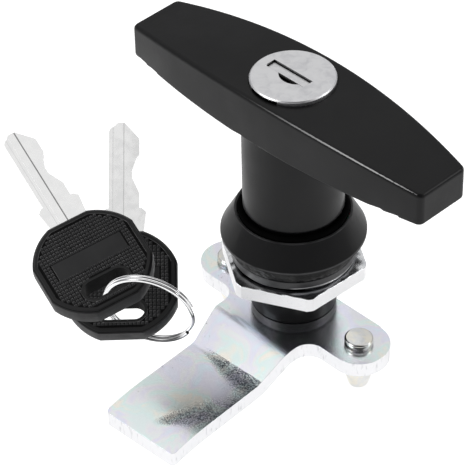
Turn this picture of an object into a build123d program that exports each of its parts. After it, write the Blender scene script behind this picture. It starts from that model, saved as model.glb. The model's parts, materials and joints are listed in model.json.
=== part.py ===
from build123d import *
import os
from math import cos, radians, sin, sqrt

# T-handle cabinet lock, millimetres. The origin is on the spindle axis, at the underside of the flange
# that lies on the panel. +Z points out of the panel, +X along the handle, and the cam's arm points to -Y.

# Clearances
run_gap = 0.05        # a shaft in its bore, a plug in its sleeve
slide_gap = 0.1       # a flat piece in its slot
seat_gap = 0.02       # a piece pressed or pushed into its seat
free_gap = 0.3        # pieces that pass each other

# Housing: a low conical flange on a threaded barrel
flange_radius = 18.5
flange_land = 0.5
flange_rim = 0.7      # wall between the cup and the flange's slope, at the top
flange_height = 7.1
cup_depth = 1.8
barrel_radius = 11.05
barrel_length = 23.0
barrel_chamfer = 0.6
rim_round = 0.28

# What clamps the panel
gasket_radius = 16.2
gasket_thickness = 4.5
gasket_round = 0.5
clamp_washer_radius = 16.0
clamp_washer_thickness = 2.2
nut_flats = 33.65
nut_thickness = 5.1
nut_turn = 27.1       # how the nut came to rest, in degrees
nut_bevel = 1.5

# T-handle
bar_length = 97.6
bar_mid_width = 26.0
bar_end_width = 15.5
bar_mid_thickness = 13.25
bar_end_thickness = 9.05
bar_top_round = 1.2
bar_bottom_round = 0.8
bar_corner_round = 1.8
neck_radius = 12.8
neck_length = 25.0
neck_lift = 1.2       # neck above the top of the flange
neck_round = 1.0
neck_step = 0.8       # the neck is stepped in by this much where it enters the cup
seal_cord = 0.95      # the seal's own radius
thrust_washer_thickness = 0.8
journal_radius = 9.0
square_width = 11.0
handle_turn = 90.0

# Stop washer under the barrel, and its tab in the barrel's end slot
stop_washer_thickness = 1.4
stop_washer_radius = 10.9
tab_height = 1.6
tab_half_angle = 9.0
tab_angle = 105.0
stop_play = 0.7       # degrees of free play at each stop

# Cam plate with its two rod ears
cam_thickness = 4.2
cam_reach = 57.5
cam_root_half_width = 13.0
cam_tip_half_width = 11.7
cam_back = 8.3
cam_notch_round = 4.5
cam_tip_round = 1.5
joggle_start = 15.5
joggle_end = 25.0
joggle_drop = 5.2
bend_radius = 6.0
tip_bend_at = 50.0
tip_droop = 1.3
ear_pitch = 46.0
ear_radius = 8.0

# Rod pins on the ears
pin_radius = 3.5
pin_length = 5.9      # the straight part, below the ear
pin_nose_length = 3.8
pin_nose_radius = 2.5
pin_head_radius = 3.7
pin_head_height = 2.0
pin_head_round = 0.5
pin_nose_round = 1.5
rivet_radius = 3.0    # the part of the pin inside the ear

# Screw that holds the cam on the spindle
cam_washer_thickness = 1.2
cam_washer_radius = 8.8
spring_washer_thickness = 1.5
spring_washer_radius = 5.3
spring_washer_split = 0.8
screw_radius = 3.0
screw_length = 14.0
screw_head_flats = 10.0
screw_head_height = 4.0
screw_head_bevel = 0.7
screw_hole_spare = 1.0

# Lock cylinder
face_radius = 10.65
face_proud = 1.1
face_gap = 0.2
face_thickness = 0.5
face_bevel = 0.35
face_skirt = 3.6
head_height = 5.6
sleeve_radius = 8.5
sleeve_length = 26.5
plug_radius = 6.4
clip_radius = 7.6
clip_thickness = 0.8
clip_arm = 1.0
boss_width = 5.0
boss_length = 2.6
tail_radius = 4.2
throw_radius = 1.8
throw_pin_radius = 1.1
plug_turn = 90.0

# Keyhole in the face, its shutter and the keyway behind it
window_length = 12.7
window_width = 3.1
window_shift = -1.4
moon_radius = 4.48
moon_low = 3.1
shutter_thickness = 0.5
shutter_ear = 0.9
hinge_pin_radius = 0.3
hinge_behind = 0.75
keyway_width = 7.9
keyway_height = 2.3
keyway_shift = -1.0

# Wafers and their springs
wafer_count = 5
wafer_pitch = 3.4
wafer_first = 3.6     # from the plug's head down to the first wafer
wafer_thickness = 1.1
wafer_width = 6.0
wafer_travel = 0.8
lug_reach = 1.3
lug_width = 1.4
coil_radius = 0.5
coil_wire = 0.12
coil_turns = 5
coil_length = 3.4

# Bolt that locks the handle to the housing
bolt_width = 8.0
bolt_height = 3.2
bolt_base = 0.9       # its underside above the panel face

# Keys and the ring they hang on
bow_flats = 28.4
bow_corner = 11.0
bow_thickness = 5.3
bow_draft = 3.0
bow_edge = 0.6
bow_rim = 1.5
bow_recess = 0.3
label_length = 19.2
label_width = 5.2
label_up = 1.2
slot_length = 12.0
slot_width = 5.2
slot_down = 7.9
blade_thickness = 2.0
blade_width = 7.9
blade_offset = 0.5
blade_reach = 46.2    # from the bow's centre to the tip
shoulder_at = 21.2
shoulder_width = 11.4
shoulder_root = 10.0
shoulder_corner = 1.1
tip_left = 2.2        # the tip's bevels, across and along the blade
tip_left_rise = 2.3
tip_right = 4.0
tip_right_rise = 5.0
tip_round = 1.4
cut_depth = 1.9
cut_middle = 31.0
cut_flat = 2.0
cut_slope = 4.5       # along the blade, on each side of the flat
cut_step = 0.7        # the steep start of the cut's far slope
groove_width = 0.9
groove_depth = 0.45
groove_inset = 1.4    # from the blade's left edge to the upper groove
groove_step = 2.4     # between the upper groove and the lower one
blade_in_bow = 8.0
ring_radius = 11.45
wire_radius = 0.5
wire_spread = 0.49    # half the distance between the two turns
ring_split = 0.4
ring_split_angle = 60.0
ring_step_angle = 6.0

# How the ring lies, and how each key hangs on it: its place round the ring in degrees, where the wire
# crosses its slot from the slot's middle, the direction of the slot, and where the upper face looks
ring_middle = (-12.89, -38.41, -10.85)
ring_across = (0.869, 0.4949, 0)
ring_facing = (0.4889, -0.8585, -0.1545)
key_1_round = 152.8
key_1_slip = 0.0
key_1_rise = 0.0
key_1_side = (0.3039, 0.9304, 0.205)
key_1_up = (0.1763, -0.2664, 0.9476)
key_2_round = 204.1
key_2_slip = -2.75
key_2_rise = -0.23
key_2_side = (0.7045, 0.7092, 0.0262)
key_2_up = (0.276, -0.3077, 0.9106)

# Heights that follow from the sizes above
step_radius = neck_radius - neck_step
cup_radius = step_radius + free_gap + 2 * seal_cord
flange_top_radius = cup_radius + flange_rim
cup_floor = flange_height - cup_depth
thrust_top = cup_floor + thrust_washer_thickness
neck_bottom = flange_height + neck_lift
bar_bottom = neck_bottom + neck_length
bar_top = bar_bottom + bar_mid_thickness
bar_end_top = bar_bottom + bar_end_thickness
gasket_bottom = -gasket_thickness
clamp_bottom = gasket_bottom - clamp_washer_thickness
nut_bottom = clamp_bottom - nut_thickness
barrel_bottom = -barrel_length
shank_end = barrel_bottom - run_gap
cam_top = shank_end - stop_washer_thickness
cam_bottom = cam_top - cam_thickness
square_end = cam_bottom + slide_gap
cam_washer_bottom = cam_bottom - cam_washer_thickness
spring_washer_bottom = cam_washer_bottom - spring_washer_thickness
bore_radius = journal_radius + run_gap
thread_bore = barrel_radius + run_gap
face_top = bar_top + face_proud
head_bottom = face_top - head_height
head_seat = head_bottom - run_gap
sleeve_bottom = head_seat - sleeve_length
plug_bottom = sleeve_bottom - run_gap
clip_top = plug_bottom
clip_bottom = clip_top - clip_thickness
chamber_bottom = clip_bottom - free_gap
tail_top = clip_bottom
bolt_top = bolt_base + bolt_height
tail_bottom = bolt_top + slide_gap
bolt_throw = 2 * throw_radius * sin(radians(plug_turn / 2))
bolt_tip = journal_radius - free_gap / 2
cap_under = face_top - face_thickness
wafer_radius = plug_radius - slide_gap
channel_radius = wafer_radius + wafer_travel + free_gap
window_near = -window_width / 2
window_left = window_shift - window_length / 2
window_right = window_shift + window_length / 2
hinge_y = window_near - hinge_behind
hinge_z = cap_under - hinge_pin_radius - slide_gap
well_bottom = hinge_z - (window_width + hinge_behind) - free_gap


def disc(radius, low, high):
    return Pos(0, 0, (low + high) / 2) * Cylinder(radius, high - low)


def tube(outer, inner, low, high):
    return disc(outer, low, high) - disc(inner, low - 1, high + 1)


def block(x_span, y_span, z_span):
    size = [span[1] - span[0] for span in (x_span, y_span, z_span)]
    middle = [(span[0] + span[1]) / 2 for span in (x_span, y_span, z_span)]
    return Pos(*middle) * Box(*size)


def sector(outer, inner, low, high, start, sweep):
    wall = Pos((outer + inner) / 2, (low + high) / 2) * Rectangle(outer - inner, high - low)
    return Rot(0, 0, start) * revolve(Plane.XZ * wall, Axis.Z, sweep)


def circles_at(shape, z):
    return shape.edges().filter_by(GeomType.CIRCLE).filter_by_position(Axis.Z, z - 0.01, z + 0.01)


# Housing and what clamps it to the panel

def bolt_pocket():
    width = bolt_width / 2 + free_gap
    reach = bolt_tip + bolt_throw + free_gap
    return block((-width, width), (0, reach), (bolt_base - slide_gap, bolt_top + slide_gap))


def housing():
    outline = Polyline(
        (bore_radius, barrel_bottom), (barrel_radius - barrel_chamfer, barrel_bottom),
        (barrel_radius, barrel_bottom + barrel_chamfer), (barrel_radius, 0), (flange_radius, 0),
        (flange_radius, flange_land), (flange_top_radius, flange_height), (cup_radius, flange_height),
        (cup_radius, cup_floor), (bore_radius, cup_floor), close=True)
    body = revolve(Plane.XZ * make_face(outline), Axis.Z)
    body = fillet(circles_at(body, flange_height), rim_round)
    for turn in (0, handle_turn):
        body -= Rot(0, 0, turn) * bolt_pocket()
    reach = tab_half_angle + stop_play
    body -= sector(barrel_radius + 1, bore_radius - 1, barrel_bottom - 1,
                   barrel_bottom + tab_height + free_gap, tab_angle - reach, handle_turn + 2 * reach)
    return body


def gasket():
    ring = tube(gasket_radius, thread_bore, gasket_bottom, 0)
    rim = ring.edges().filter_by(GeomType.CIRCLE).sort_by(SortBy.RADIUS)[-2:]
    return fillet(rim, gasket_round)


def clamp_washer():
    return tube(clamp_washer_radius, thread_bore, clamp_bottom, gasket_bottom)


def beveled_hexagon(flats, low, high, bevel):
    corner = flats / sqrt(3)
    hexagon = extrude(RegularPolygon(corner, 6), high - low)
    rounds = Polyline((0, low), (flats / 2, low), (corner, low + bevel), (corner, high - bevel),
                      (flats / 2, high), (0, high), close=True)
    return Pos(0, 0, low) * hexagon & revolve(Plane.XZ * make_face(rounds), Axis.Z)


def panel_nut():
    body = beveled_hexagon(nut_flats, nut_bottom, clamp_bottom, nut_bevel)
    return Rot(0, 0, nut_turn) * body - disc(thread_bore, nut_bottom - 1, clamp_bottom + 1)


def thrust_washer():
    return tube(cup_radius - slide_gap, bore_radius + slide_gap, cup_floor, thrust_top)


def neck_seal():
    height = thrust_top + slide_gap + seal_cord
    return Pos(0, 0, height) * Torus(cup_radius - seat_gap - seal_cord, seal_cord)


# T-handle, spindle and stop

def handle_bar():
    half = bar_length / 2
    end = bar_end_width / 2
    middle = bar_mid_width / 2
    plan = make_face([
        ThreePointArc((-half, -end), (0, -middle), (half, -end)), Line((half, -end), (half, end)),
        ThreePointArc((half, end), (0, middle), (-half, end)), Line((-half, end), (-half, -end))])
    side = make_face([
        Line((-half, bar_bottom), (half, bar_bottom)), Line((half, bar_bottom), (half, bar_end_top)),
        ThreePointArc((half, bar_end_top), (0, bar_top), (-half, bar_end_top)),
        Line((-half, bar_end_top), (-half, bar_bottom))])
    plan = fillet(plan.vertices(), bar_corner_round)
    bar = Pos(0, 0, bar_bottom) * extrude(plan, bar_mid_thickness)
    bar = bar & extrude(Plane.XZ * side, bar_mid_width, both=True)
    top = bar.faces().sort_by(Axis.Z)[-1]
    bar = fillet(top.edges(), bar_top_round)
    bottom = bar.faces().sort_by(Axis.Z)[0]
    return fillet(bottom.edges(), bar_bottom_round)


def t_handle():
    neck = disc(neck_radius, neck_bottom, bar_bottom + bar_end_thickness / 2)
    neck = fillet(circles_at(neck, neck_bottom), neck_round)
    body = handle_bar() + neck + disc(step_radius, thrust_top + run_gap, neck_bottom + neck_round)
    body += disc(journal_radius, shank_end, thrust_top + run_gap)
    body += block((-square_width / 2, square_width / 2), (-square_width / 2, square_width / 2),
                  (square_end, shank_end))
    body -= disc(face_radius + face_gap, head_seat, bar_top + 1)
    body -= disc(sleeve_radius + seat_gap, chamber_bottom, head_seat)
    body -= disc(tail_radius + free_gap, tail_bottom, chamber_bottom)
    half = bolt_width / 2 + slide_gap
    body -= block((-half, half), (-half, journal_radius + 1), (bolt_base - slide_gap, tail_bottom))
    body -= disc(screw_radius + seat_gap, square_end - 1, square_end + screw_length)
    return body


def stop_washer():
    half = square_width / 2 + seat_gap
    plate = disc(stop_washer_radius, cam_top, shank_end)
    tab = sector(stop_washer_radius, bore_radius + free_gap / 2, shank_end, barrel_bottom + tab_height,
                 tab_angle - tab_half_angle, 2 * tab_half_angle)
    return plate + tab - block((-half, half), (-half, half), (cam_top - 1, shank_end + 1))


# Cam, rod pins and the screw under them

def cam_outline():
    ear = ear_pitch / 2
    arm = Polyline((-cam_root_half_width, 0), (-cam_root_half_width, -joggle_start),
                   (-cam_tip_half_width, -joggle_end), (-cam_tip_half_width, -cam_reach),
                   (cam_tip_half_width, -cam_reach), (cam_tip_half_width, -joggle_end),
                   (cam_root_half_width, -joggle_start), (cam_root_half_width, 0), close=True)
    hub = Pos(0, (cam_back - ear_radius) / 2) * Rectangle(ear_pitch, cam_back + ear_radius)
    plate = make_face(arm) + hub
    for side in (-1, 1):
        plate += Pos(side * ear) * Circle(ear_radius)
    tips = plate.vertices().group_by(Axis.Y)[0]
    plate = fillet(tips, cam_tip_round)
    notches = [v for v in plate.vertices()
               if abs(abs(v.X) - cam_root_half_width) < 0.01 and abs(v.Y + ear_radius) < 0.01]
    return fillet(notches, cam_notch_round)


def cam():
    middle = cam_top - cam_thickness / 2
    low = middle - joggle_drop
    path = FilletPolyline(
        (0, cam_back, middle), (0, -joggle_start, middle), (0, -joggle_end, low), (0, -tip_bend_at, low),
        (0, -cam_reach - 1, low - tip_droop), radius=bend_radius)
    start = Plane(origin=path @ 0, x_dir=(1, 0, 0), z_dir=path % 0)
    strip = sweep(start * Rectangle(ear_pitch + 2 * ear_radius + 2, cam_thickness), path)
    plate = strip & Pos(0, 0, low - cam_thickness) * extrude(cam_outline(), 2 * cam_thickness + joggle_drop)
    half = square_width / 2 + seat_gap
    plate -= block((-half, half), (-half, half), (cam_bottom - 1, cam_top + 1))
    for side in (-1, 1):
        plate -= Pos(side * ear_pitch / 2) * disc(rivet_radius + seat_gap, cam_bottom - 1, cam_top + 1)
    return plate


def rod_pin(side):
    top = cam_top + pin_head_height
    taper = cam_bottom - pin_length
    nose = taper - pin_nose_length
    outline = Polyline(
        (0, nose), (pin_nose_radius, nose), (pin_radius, taper), (pin_radius, cam_bottom),
        (rivet_radius, cam_bottom), (rivet_radius, cam_top), (pin_head_radius, cam_top),
        (pin_head_radius, top), (0, top), close=True)
    pin = revolve(Plane.XZ * make_face(outline), Axis.Z)
    pin = fillet(circles_at(pin, nose) + circles_at(pin, taper), pin_nose_round)
    pin = fillet(circles_at(pin, top), pin_head_round)
    return Pos(side * ear_pitch / 2) * pin


def cam_washer():
    return tube(cam_washer_radius, screw_radius + slide_gap, cam_washer_bottom, cam_bottom)


def spring_washer():
    ring = tube(spring_washer_radius, screw_radius + slide_gap, spring_washer_bottom, cam_washer_bottom)
    half = spring_washer_split / 2
    split = block((screw_radius - 1, spring_washer_radius + 1), (-half, half),
                  (spring_washer_bottom - 1, cam_washer_bottom + 1))
    return ring - Rot(0, 0, 40) * split


def cam_screw():
    low = spring_washer_bottom - screw_head_height
    head = beveled_hexagon(screw_head_flats, low, spring_washer_bottom, screw_head_bevel)
    return head + disc(screw_radius, spring_washer_bottom, square_end + screw_length - screw_hole_spare)


# Lock cylinder

def window_face(grow=0.0):
    slot = Pos(window_shift, 0) * Rectangle(window_length + 2 * grow, window_width + 2 * grow)
    moon = Pos(0, moon_radius - moon_low) * Circle(moon_radius + grow)
    return slot + (moon & Pos(0, -moon_radius) * Rectangle(2 * window_length, 2 * moon_radius))


def face_cap():
    cup = disc(face_radius, face_top - face_skirt, face_top)
    cup = chamfer(circles_at(cup, face_top), face_bevel)
    cup -= disc(face_radius - face_thickness, face_top - face_skirt - 1, cap_under)
    return cup - Pos(0, 0, cap_under - 1) * extrude(window_face(), face_thickness + 2)


def wafer_height(number):
    return head_bottom - wafer_first - number * wafer_pitch


def wafer_side(number):
    return 1 if number % 2 == 0 else -1


def lug_box(side, grow, low, high):
    near = -lug_width / 2 - grow
    far = lug_width / 2 + grow
    outer = wafer_width / 2 + lug_reach + grow
    return block((near, far), (0, outer), (low, high))


def lock_plug():
    head = disc(face_radius - face_thickness - seat_gap, head_bottom, cap_under - seat_gap)
    well = Pos(0, 0, well_bottom) * extrude(window_face(free_gap), cap_under - well_bottom)
    well += block((window_left - free_gap, window_right + free_gap),
                  (hinge_y - hinge_pin_radius - free_gap, 0), (well_bottom, cap_under))
    plug = head + disc(plug_radius, plug_bottom, head_bottom) - well
    plug -= shutter_hinge(run_gap, shutter_ear)
    plug += block((-boss_width / 2, boss_width / 2), (-boss_width / 2, boss_width / 2),
                  (plug_bottom - boss_length, plug_bottom))
    keyway = (keyway_shift - keyway_width / 2, keyway_shift + keyway_width / 2)
    lowest = wafer_height(wafer_count - 1) - wafer_pitch
    plug -= block(keyway, (-keyway_height / 2, keyway_height / 2), (lowest, cap_under))
    for number in range(wafer_count):
        z = wafer_height(number)
        side = wafer_side(number)
        reach = (wafer_thickness + slide_gap) / 2
        span = wafer_width / 2 + slide_gap / 2
        plug -= block((-plug_radius - 1, plug_radius + 1), (-span, span), (z - reach, z + reach))
        travel = wafer_travel * side
        slot = lug_box(side, slide_gap, z - reach, z + reach)
        plug -= slot
        plug -= Pos(-travel) * slot
        plug -= spring_bore(number)
    return plug


def spring_bore(number):
    side = wafer_side(number)
    start = lug_width / 2
    end = start + coil_length + slide_gap
    middle = (start + end) / 2
    y = wafer_width / 2 + lug_reach / 2
    bore = Rot(0, 90, 0) * Cylinder(coil_radius + coil_wire + slide_gap, end - start)
    return Pos(side * middle, y, wafer_height(number)) * bore


def wafer(number):
    z = wafer_height(number)
    low = z - wafer_thickness / 2
    high = z + wafer_thickness / 2
    plate = block((-plug_radius, plug_radius), (-wafer_width / 2, wafer_width / 2), (low, high))
    plate = plate & disc(wafer_radius, low, high)
    plate += lug_box(wafer_side(number), 0, low, high)
    half = (keyway_width + slide_gap) / 2
    window = block((keyway_shift - half, keyway_shift + half), (-keyway_height / 2, keyway_height / 2),
                   (low - 1, high + 1))
    return plate - window


def wafer_spring(number):
    side = wafer_side(number)
    start = lug_width / 2 + seat_gap
    pitch = (coil_length - 2 * coil_wire) / coil_turns
    line = Helix(pitch, pitch * coil_turns, coil_radius)
    section = Plane(origin=line @ 0, z_dir=line % 0) * RegularPolygon(coil_wire, 6)
    coil = sweep(section, line, is_frenet=True)
    y = wafer_width / 2 + lug_reach / 2
    return Pos(side * (start + coil_wire), y, wafer_height(number)) * (Rot(0, 90 * side, 0) * coil)


def cylinder_sleeve():
    sleeve = tube(sleeve_radius, plug_radius + run_gap, sleeve_bottom, head_seat)
    width = wafer_width / 2 + free_gap
    low = wafer_height(wafer_count - 1) - wafer_thickness - free_gap
    across = block((-channel_radius, channel_radius), (-width, width), (low, head_seat + 1))
    for turn in (0, plug_turn):
        sleeve -= Rot(0, 0, turn) * across
    return sleeve


def plug_clip():
    half = boss_width / 2 + seat_gap
    opening = block((-half, half), (-half, half), (clip_bottom - 1, clip_top + 1))
    mouth = block((clip_arm - half, half - clip_arm), (0, clip_radius + 1), (clip_bottom - 1, clip_top + 1))
    return disc(clip_radius, clip_bottom, clip_top) - opening - mouth


def tailpiece():
    half = boss_width / 2 + seat_gap
    rod = disc(tail_radius, tail_bottom + run_gap, tail_top)
    rod -= block((-half, half), (-half, half), (plug_bottom - boss_length - slide_gap, tail_top + 1))
    start = radians(-plug_turn / 2)
    pin = disc(throw_pin_radius, bolt_base + slide_gap, tail_bottom + run_gap)
    return rod + Pos(throw_radius * cos(start), throw_radius * sin(start)) * pin


def shutter_hinge(grow, length):
    rod = Rot(0, 90, 0) * Cylinder(hinge_pin_radius + grow, window_length + 2 * length)
    return Pos(window_shift, hinge_y, hinge_z) * rod


def shutter():
    high = cap_under - slide_gap
    low = high - shutter_thickness
    flap = block((window_left, window_right), (hinge_y, window_width / 2), (low, high))
    flap += shutter_hinge(0, shutter_ear - run_gap)
    moon_half = sqrt(moon_radius ** 2 - (moon_radius - moon_low - window_near) ** 2)
    opening = block((-moon_half, moon_half), (hinge_y - 1, window_near), (low - 1, high + 1))
    return flap - opening


# Bolt that locks the handle to the housing

def locking_bolt():
    bar = block((-bolt_width / 2, bolt_width / 2), (-bolt_width / 2, journal_radius), (bolt_base, bolt_top))
    bar = bar & disc(bolt_tip, bolt_base, bolt_top)
    start = radians(-plug_turn / 2)
    half = throw_pin_radius + 2 * slide_gap
    y = throw_radius * sin(start)
    slot = block((throw_radius * cos(start) - half, throw_radius + half), (y - half, y + half),
                 (bolt_base - 1, bolt_top + 1))
    return bar - slot


# Keys and ring

def bow_outline(grow=0.0):
    radius = sqrt((bow_flats / 2) ** 2 + (bow_corner / 2) ** 2)
    return Circle(radius + grow) & Rectangle(bow_flats + 2 * grow, bow_flats + 2 * grow)


def key_slot(grow=0.0):
    return Pos(0, -slot_down) * SlotOverall(slot_length + grow, slot_width + grow)


def key_bow():
    half = bow_thickness / 2
    upper = extrude(bow_outline(), half, taper=bow_draft)
    upper = chamfer(upper.faces().sort_by(Axis.Z)[-1].edges(), bow_edge)
    upper -= extrude(key_slot(), half)
    label = Pos(0, label_up) * Rectangle(label_length, label_width)
    field = bow_outline(-bow_rim) - key_slot(bow_rim) - label
    upper -= Pos(0, 0, half - bow_recess) * extrude(field, 1)
    body = upper + mirror(upper, Plane.XY) - key_blade()
    return Pos(0, 0, -half) * body


def blade_outline():
    left = blade_offset - blade_width / 2
    right = blade_offset + blade_width / 2
    start = bow_flats / 2
    tip_line = blade_reach - tip_right_rise
    blade = make_face(Polyline(
        (left, start), (left, blade_reach - tip_left_rise), (left + tip_left, blade_reach),
        (right - tip_right, blade_reach), (right, tip_line), (right, start), close=True))
    tips = blade.vertices().filter_by_position(Axis.Y, tip_line - 1, blade_reach)
    blade = fillet(tips, tip_round)
    low = cut_middle - cut_flat / 2
    high = cut_middle + cut_flat / 2
    floor = right - cut_depth
    cut = Polyline((right + 1, low - cut_slope), (right, low - cut_slope), (floor, low), (floor, high),
                   (right - cut_step, high + cut_slope - cut_step), (right, high + cut_slope),
                   (right + 1, high + cut_slope), close=True)
    return blade - make_face(cut)


def shoulder_outline():
    wide = shoulder_width / 2
    root = shoulder_root / 2
    end = wide - shoulder_corner
    corner = shoulder_at - shoulder_corner
    edge = bow_flats / 2
    inside = edge - blade_in_bow
    return Pos(blade_offset) * make_face(Polyline(
        (-root, inside), (-root, edge), (-wide, corner), (-end, shoulder_at), (end, shoulder_at),
        (wide, corner), (root, edge), (root, inside), close=True))


def key_blade():
    blade = extrude(blade_outline() + shoulder_outline(), blade_thickness / 2, both=True)
    for face in (-1, 1):
        x = blade_offset - blade_width / 2 + groove_inset + (0 if face > 0 else groove_step)
        height = face * blade_thickness / 2
        blade -= block((x - groove_width / 2, x + groove_width / 2), (bow_flats / 2, blade_reach + 1),
                       (height - groove_depth, height + groove_depth))
    return blade


def ring_plane():
    return Plane(origin=ring_middle, x_dir=ring_across, z_dir=ring_facing)


def split_ring():
    wire = Torus(ring_radius, wire_radius)
    ring = Pos(0, 0, wire_spread) * wire + Pos(0, 0, -wire_spread) * wire
    for side in (-1, 1):
        end = block((ring_radius - 1, ring_radius + 1), (-ring_split / 2, ring_split / 2),
                    sorted((0, side * (wire_spread + 1))))
        ring -= Rot(0, 0, ring_split_angle + side * ring_step_angle / 2) * end
    return ring_plane() * ring


def key_place(ring_angle, slip, rise, side, up):
    angle = radians(ring_angle)
    wire = ring_plane().from_local_coords((ring_radius * cos(angle), ring_radius * sin(angle), 0))
    hung = Plane(origin=wire, x_dir=side, z_dir=up)
    return hung.location * Pos(-slip, slot_down + rise, bow_thickness / 2)


nodes = {
    "housing": housing(), "gasket": gasket(), "clamp_washer": clamp_washer(), "panel_nut": panel_nut(),
    "thrust_washer": thrust_washer(), "neck_seal": neck_seal(), "t_handle": t_handle(),
    "stop_washer": stop_washer(), "cam": cam(), "rod_pin_left": rod_pin(-1), "rod_pin_right": rod_pin(1),
    "cam_washer": cam_washer(), "spring_washer": spring_washer(), "cam_screw": cam_screw(),
    "cylinder_sleeve": cylinder_sleeve(), "lock_plug": lock_plug(), "face_cap": face_cap(),
    "plug_clip": plug_clip(), "tailpiece": tailpiece(), "shutter": shutter(),
    "locking_bolt": locking_bolt(), "split_ring": split_ring(),
}
for number in range(wafer_count):
    nodes[f"wafer_{number + 1}"] = wafer(number)
    nodes[f"wafer_spring_{number + 1}"] = wafer_spring(number)
key_1_place = key_place(key_1_round, key_1_slip, key_1_rise, key_1_side, key_1_up)
key_2_place = key_place(key_2_round, key_2_slip, key_2_rise, key_2_side, key_2_up)
for name, place in (("key_1", key_1_place), ("key_2", key_2_place)):
    nodes[f"{name}_bow"] = place * key_bow()
    nodes[f"{name}_blade"] = place * (Pos(0, 0, -bow_thickness / 2) * key_blade())

os.makedirs("parts", exist_ok=True)
for name, shape in nodes.items():
    export_step(shape, f"parts/{name}.step")
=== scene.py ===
import json
import math
import bmesh
import bpy
from mathutils import Matrix, Vector


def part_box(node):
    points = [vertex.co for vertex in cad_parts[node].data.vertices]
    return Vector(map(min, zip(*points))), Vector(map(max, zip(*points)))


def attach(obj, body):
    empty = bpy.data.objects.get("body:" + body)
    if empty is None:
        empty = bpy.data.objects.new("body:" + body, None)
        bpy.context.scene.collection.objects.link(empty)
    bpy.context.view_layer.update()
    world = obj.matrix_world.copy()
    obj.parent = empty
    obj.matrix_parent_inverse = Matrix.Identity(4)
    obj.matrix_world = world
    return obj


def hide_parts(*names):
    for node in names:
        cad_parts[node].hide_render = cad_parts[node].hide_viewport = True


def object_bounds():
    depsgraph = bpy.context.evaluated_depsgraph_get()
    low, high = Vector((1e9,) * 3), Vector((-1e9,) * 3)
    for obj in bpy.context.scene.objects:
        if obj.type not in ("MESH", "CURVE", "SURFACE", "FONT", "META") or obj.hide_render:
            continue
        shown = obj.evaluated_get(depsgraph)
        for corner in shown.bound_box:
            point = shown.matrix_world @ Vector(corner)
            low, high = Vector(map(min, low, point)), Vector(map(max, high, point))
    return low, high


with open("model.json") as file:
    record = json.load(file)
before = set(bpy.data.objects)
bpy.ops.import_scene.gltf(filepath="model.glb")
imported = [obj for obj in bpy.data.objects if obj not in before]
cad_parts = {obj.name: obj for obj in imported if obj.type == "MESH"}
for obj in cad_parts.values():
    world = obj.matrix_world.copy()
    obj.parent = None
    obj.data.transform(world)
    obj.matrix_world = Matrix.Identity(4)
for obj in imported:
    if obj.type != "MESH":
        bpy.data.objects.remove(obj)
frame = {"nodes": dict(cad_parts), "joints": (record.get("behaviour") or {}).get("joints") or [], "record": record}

mm = 0.001
touching = 0.001 * mm
cadBox = [list(corner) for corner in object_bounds()]
nodes = frame["nodes"]
joints = {joint["name"]: joint for joint in frame["joints"]}
bodyOf = {name: body for body, names in frame["record"]["behaviour"]["bodies"].items() for name in names}
slotOf = {part["node"]: part["material_slot"] for part in frame["record"]["subparts"]}
print("frame loaded:", len(nodes), "nodes")


class Signal:
    # a socket that takes part in sums, so that node maths reads as maths
    def __init__(self, maker, socket):
        self.maker = maker
        self.socket = socket

    def of(self, name):
        return Signal(self.maker, self.socket.node.outputs[name])

    def __add__(self, other):
        return self.maker.maths("ADD", self, other)

    def __radd__(self, other):
        return self.maker.maths("ADD", other, self)

    def __sub__(self, other):
        return self.maker.maths("SUBTRACT", self, other)

    def __rsub__(self, other):
        return self.maker.maths("SUBTRACT", other, self)

    def __mul__(self, other):
        return self.maker.maths("MULTIPLY", self, other)

    def __rmul__(self, other):
        return self.maker.maths("MULTIPLY", other, self)

    def __truediv__(self, other):
        return self.maker.maths("DIVIDE", self, other)

    def __rtruediv__(self, other):
        return self.maker.maths("DIVIDE", other, self)

    def __pow__(self, other):
        return self.maker.maths("POWER", self, other)

    def __lt__(self, other):
        return self.maker.maths("LESS_THAN", self, other)

    def __gt__(self, other):
        return self.maker.maths("GREATER_THAN", self, other)

    def __abs__(self):
        return self.maker.maths("ABSOLUTE", self)

    def root(self):
        return self.maker.maths("SQRT", self)

    def clamped(self):
        return self.maker.node("ShaderNodeClamp", {}, {"Value": self})

    def spread(self, low, high, newLow=0.0, newHigh=1.0):
        # a smooth step from one value to another
        return self.maker.node("ShaderNodeMapRange", {"interpolation_type": "SMOOTHSTEP"}, {
            "Value": self, "From Min": low, "From Max": high, "To Min": newLow, "To Max": newHigh})

    def near(self, middle, half):
        return abs(self - middle) < half


class NodeMaker:
    def __init__(self, tree):
        self.tree = tree

    def node(self, kind, settings=None, sockets=None, output=0):
        made = self.tree.nodes.new(kind)
        for name, value in (settings or {}).items():
            if name == "stops":
                ramp = made.color_ramp.elements
                while len(ramp) < len(value):
                    ramp.new(0.5)
                for element, (position, color) in zip(ramp, value):
                    element.position = position
                    element.color = (*color, 1.0)
            else:
                setattr(made, name, value)
        for name, value in (sockets or {}).items():
            self.feed(made.inputs[name], value)
        return Signal(self, made.outputs[output])

    def feed(self, socket, value):
        if isinstance(value, Signal):
            self.tree.links.new(value.socket, socket)
        else:
            socket.default_value = value

    def maths(self, operation, *values):
        return self.node("ShaderNodeMath", {"operation": operation}, dict(enumerate(values)))

    def larger(self, first, second):
        return self.maths("MAXIMUM", first, second)

    def ramp(self, signal, stops):
        return self.node("ShaderNodeValToRGB", {"stops": stops}, {"Fac": signal}, "Color")

    def split(self, vector):
        parts = self.node("ShaderNodeSeparateXYZ", {}, {0: vector})
        return parts.of("X"), parts.of("Y"), parts.of("Z")

    def toward(self, vector, direction):
        return self.node("ShaderNodeVectorMath", {"operation": "DOT_PRODUCT"}, {0: vector, 1: direction}, "Value")


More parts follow.
